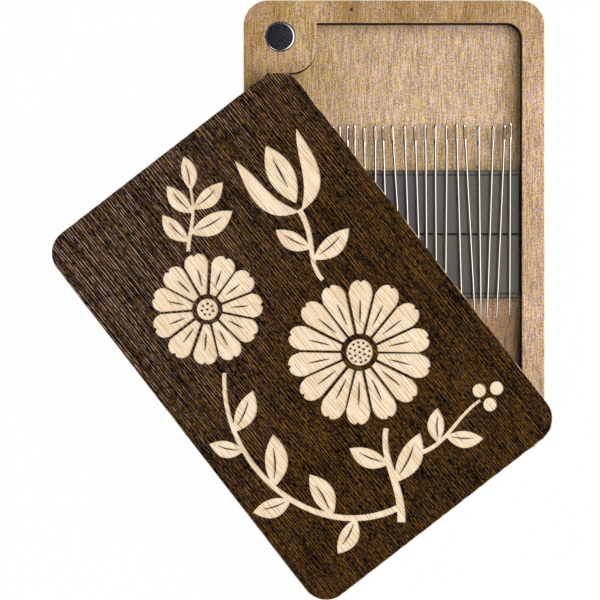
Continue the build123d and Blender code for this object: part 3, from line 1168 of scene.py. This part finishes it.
def ring(block, count, radius, middle, unevenness=0.0, seed=0):
    inputs = {"Count": count, "Radius": radius, "Middle": (*middle, 0.0)}
    inputs |= {"Unevenness": unevenness, "Seed": seed}
    return grown(ringOfBlocks, bpy.data.meshes.new("empty"), block, inputs)


def leafPoints(leaves):
    mesh = bpy.data.meshes.new("leafPoints")
    mesh.from_pydata([(0, 0, 0)] * len(leaves), [], [])
    rows = []
    for place, turn, length, width in leaves:
        rows.append((place, radians(turn), length, width if turn > 0 else -width))
    for name, values in zip(leafColumns, zip(*rows)):
        mesh.attributes.new(name, "FLOAT", "POINT").data.foreach_set("value", values)
    return mesh


def sprig(block, stalk, widths, thickness):
    inputs = {name: (*point, floorHeight) for name, point in zip(stalkControls, stalk["path"])}
    inputs |= {"Start Width": widths[0], "End Width": widths[1], "Thickness": thickness}
    return grown(leavesAlongStalk, leafPoints(stalk["leaves"]), block, inputs)


def lightBlock(outline):
    return prism(outline, floorHeight, aboveLid)


def darkBlock(outline):
    # for what stays stained within a light area
    return prism(outline, floorHeight - blocks["past"], aboveLid + blocks["past"])


def daisyBlocks(settings, shape):
    # the light areas of a flower, and the dark lines and dots that stand in them
    middle, inner, petals = settings["middle"], settings["inner"], settings["petals"]
    petal = lightBlock(petalOutline(shape, inner, settings["outer"], petals))
    eye = lightBlock(circle(settings["eye"], shape["eyeSteps"]))
    light = [
        ring(petal, petals, 0.0, middle, shape["unevenness"], settings["seed"]),
        moved(eye, shift(*middle)),
    ]
    reach = settings["outer"] - inner
    vein = darkBlock(lens(reach * shape["veinLength"], shape["veinWidth"], 0.0, shape["veinSteps"]))
    vein = moved(vein, shift(inner + reach * shape["veinStart"]))
    dot = darkBlock(circle(shape["dotRadius"], shape["dotSteps"]))
    dark = [ring(vein, petals, 0.0, middle), moved(dot, shift(*middle))]
    dark += [ring(dot, count, radius, middle) for radius, count in settings["dots"]]
    return light, dark


def tulipBlocks(settings, shape):
    place = shift(*settings["foot"]) @ Matrix.Rotation(radians(settings["turn"]), 4, "Z")
    length, width, steps = settings["length"], settings["width"], shape["steps"]
    along, across = shape["middleSize"]
    start = shift(shape["middleStart"] * length)
    outlines = [(start, lens(along * length, across * width, 0, steps))]
    for sign in (1, -1):
        sides = []
        for side in (shape["outerSide"], shape["innerSide"]):
            controls = [(0, 0)] + [(x * length, sign * y * width) for x, y in (*side, shape["tip"])]
            sides.append([tuple(bezierPoint(controls, number / steps)) for number in range(steps + 1)])
        outlines.append((Matrix.Identity(4), sides[0] + sides[1][-2:0:-1]))
    light = [moved(lightBlock(outline), place @ turn) for turn, outline in outlines]
    vein = darkBlock(lens(along * length * shape["veinLength"], shape["veinWidth"], 0.0, shape["veinSteps"]))
    return light, [moved(vein, place @ start @ shift(along * length * shape["veinStart"]))]


def stalkBlocks(shape):
    leaf = moved(lightBlock(lens(1, 1, shape["curl"], shape["steps"])), shift(z=-floorHeight))
    ribLength = shape["ribEnd"] - shape["ribStart"]
    ribOutline = lens(ribLength, shape["ribWidth"], shape["ribCurl"], shape["ribSteps"])
    rib = moved(prism(ribOutline, -blocks["past"], shape["ribHeight"]), shift(shape["ribStart"]))
    light = [sprig(leaf, stalk, stalk["widths"], aboveLid - floorHeight) for stalk in stalks]
    return light, [sprig(rib, stalk, (0.0, 0.0), 0.0) for stalk in stalks]


def berryBlocks(settings):
    berry = lightBlock(circle(settings["radius"], settings["steps"]))
    return [ring(berry, settings["count"], settings["spread"], settings["middle"])], []


def engraving():
    # the light areas and the dark ones, each as one mesh
    motifs = (
        daisyBlocks(largeDaisy, daisyShape),
        daisyBlocks(smallDaisy, daisyShape),
        tulipBlocks(sideTulip, tulipShape),
        stalkBlocks(leafShape),
        berryBlocks(berryCluster),
    )
    return [joined([block for motif in motifs for block in motif[which]]) for which in (0, 1)]


def buildLid(settings):
    width = caseWidth - 2 * settings["margin"]
    length = caseLength - 2 * settings["margin"]
    outline = roundedRectangle(width, length, settings["cornerRadius"], settings["cornerSteps"])
    board = plateMesh("lidBoard", [outline], lidLow.z, lidHigh.z, settings["edgeRound"])
    light, dark = engraving()
    tidyMesh(light, 0.0001)
    tidyMesh(dark, 0.0001)
    picture = cutMesh(light, dark)
    bore = circle(settings["boreRadius"], settings["boreSteps"])
    pocketTop = lidHigh.z - settings["skin"]
    pockets = []
    for place, top in ((pivotPlace, pocketTop - settings["spigot"]), (closingPlace, pocketTop)):
        pockets.append(moved(prism(bore, lidLow.z - settings["boreBelow"], top), shift(*place)))
    engraved = cutMesh(board, joined([picture, *pockets]))
    engraved.materials.clear()
    materials = (stainedTop, engravedFloor, lidEdge, lidUnderside, lidRim)

    def choose(middle, normal):
        depth = lidHigh.z - middle.z
        if normal.z < -settings["upwards"]:
            return lidUnderside
        if normal.z > settings["flat"] and depth < settings["faceDepth"]:
            return stainedTop
        if normal.z > settings["flat"] and depth < settings["floorDepth"]:
            return engravedFloor
        return lidRim if normal.z > settings["upwards"] else lidEdge

    paintFaces(engraved, materials, choose)
    engraved.transform(openLid)
    seat("lid_board", engraved, materials, "lid", ["lid_plate"])


buildLid(lidBoard)
print("lid made")


# Stage: a white table, soft light from the upper right and the camera straight above

stage = {
    "floorSize": 4.0,
    "floorDrop": 0.00002,
    "floorWhite": 0.9,
    "floorGlow": 0.975,
    "sky": 1.10,             # to the right; the left is dark, and shows in the metal
    "horizon": 0.10,
    "skyLift": 0.55,
    "skyShows": (0.30, 1.10),
    "overhead": 0.35,        # straight above the case hangs the dark camera
    "overheadShows": (0.955, 0.985),
}
lamps = {
    "rightSoftbox": {"place": (0.38, 0.07, 0.55), "size": 0.72, "power": 3.9},
    "leftFill": {"place": (-0.33, -0.32, 0.50), "size": 0.34, "power": 0.65},
}
photoCamera = {"place": (-18.76, -14.77), "height": 307.3, "lens": 92.5}


def buildFloor(settings):
    material, graph = newMaterial("white_table")
    rays = graph.node("ShaderNodeLightPath", {}, "Is Camera Ray")
    outputs = rays.socket.node.outputs
    seen = graph.math("MAXIMUM", rays, Wire(graph, outputs["Is Glossy Ray"]))
    seen = graph.math("MAXIMUM", seen, Wire(graph, outputs["Is Transmission Ray"]))
    white = settings["floorWhite"]
    plain = graph.node("ShaderNodeBsdfDiffuse", {"Color": (white, white, white, 1)}, "BSDF")
    glow = graph.node("ShaderNodeEmission", {"Color": (1, 1, 1, 1), "Strength": 1.0}, "Emission")
    mixed = graph.node("ShaderNodeMixShader", {0: seen * settings["floorGlow"], 1: plain, 2: glow}, 0)
    graph.node("ShaderNodeOutputMaterial", {"Surface": mixed})
    half = settings["floorSize"] / 2
    corners = [(-half, -half, 0), (half, -half, 0), (half, half, 0), (-half, half, 0)]
    mesh = bpy.data.meshes.new("table")
    mesh.from_pydata(corners, [], [range(len(corners))])
    mesh.transform(shift(z=-settings["floorDrop"]))
    newPiece("table", mesh, (material,))


def buildSky(settings):
    world = bpy.data.worlds.new("studio")
    bpy.context.scene.world = world
    world.use_nodes = True
    graph = Graph(world.node_tree)
    x, y, z = graph.parts(graph.node("ShaderNodeTexCoord", {}, "Generated"))
    low, high = settings["horizon"], settings["sky"]
    strength = low + graph.step(x + z * settings["skyLift"], *settings["skyShows"]) * (high - low)
    strength = strength * (1 - graph.step(z, *settings["overheadShows"]) * (1 - settings["overhead"]))
    shader = graph.node("ShaderNodeBackground", {"Color": (1, 1, 1, 1), "Strength": strength}, 0)
    graph.node("ShaderNodeOutputWorld", {"Surface": shader})


def buildLamp(name, settings):
    lamp = bpy.data.lights.new(name, "AREA")
    lamp.shape = "SQUARE"
    lamp.size = settings["size"]
    lamp.energy = settings["power"]
    holder = newPiece(name, lamp)
    holder.location = settings["place"]
    holder.rotation_euler = Vector(settings["place"]).to_track_quat("Z", "Y").to_euler()


def buildCamera(settings):
    camera = bpy.data.cameras.new("photo")
    camera.lens = settings["lens"]
    camera.clip_start = 0.01
    holder = newPiece("photo", camera)
    x, y = settings["place"]
    holder.location = Vector((x, y, frameHigh.z + settings["height"])) * mm
    bpy.context.scene.camera = holder


buildFloor(stage)
buildSky(stage)
for name, settings in lamps.items():
    buildLamp(name, settings)
buildCamera(photoCamera)
bpy.context.scene.view_settings.view_transform = "Standard"
print("stage made")
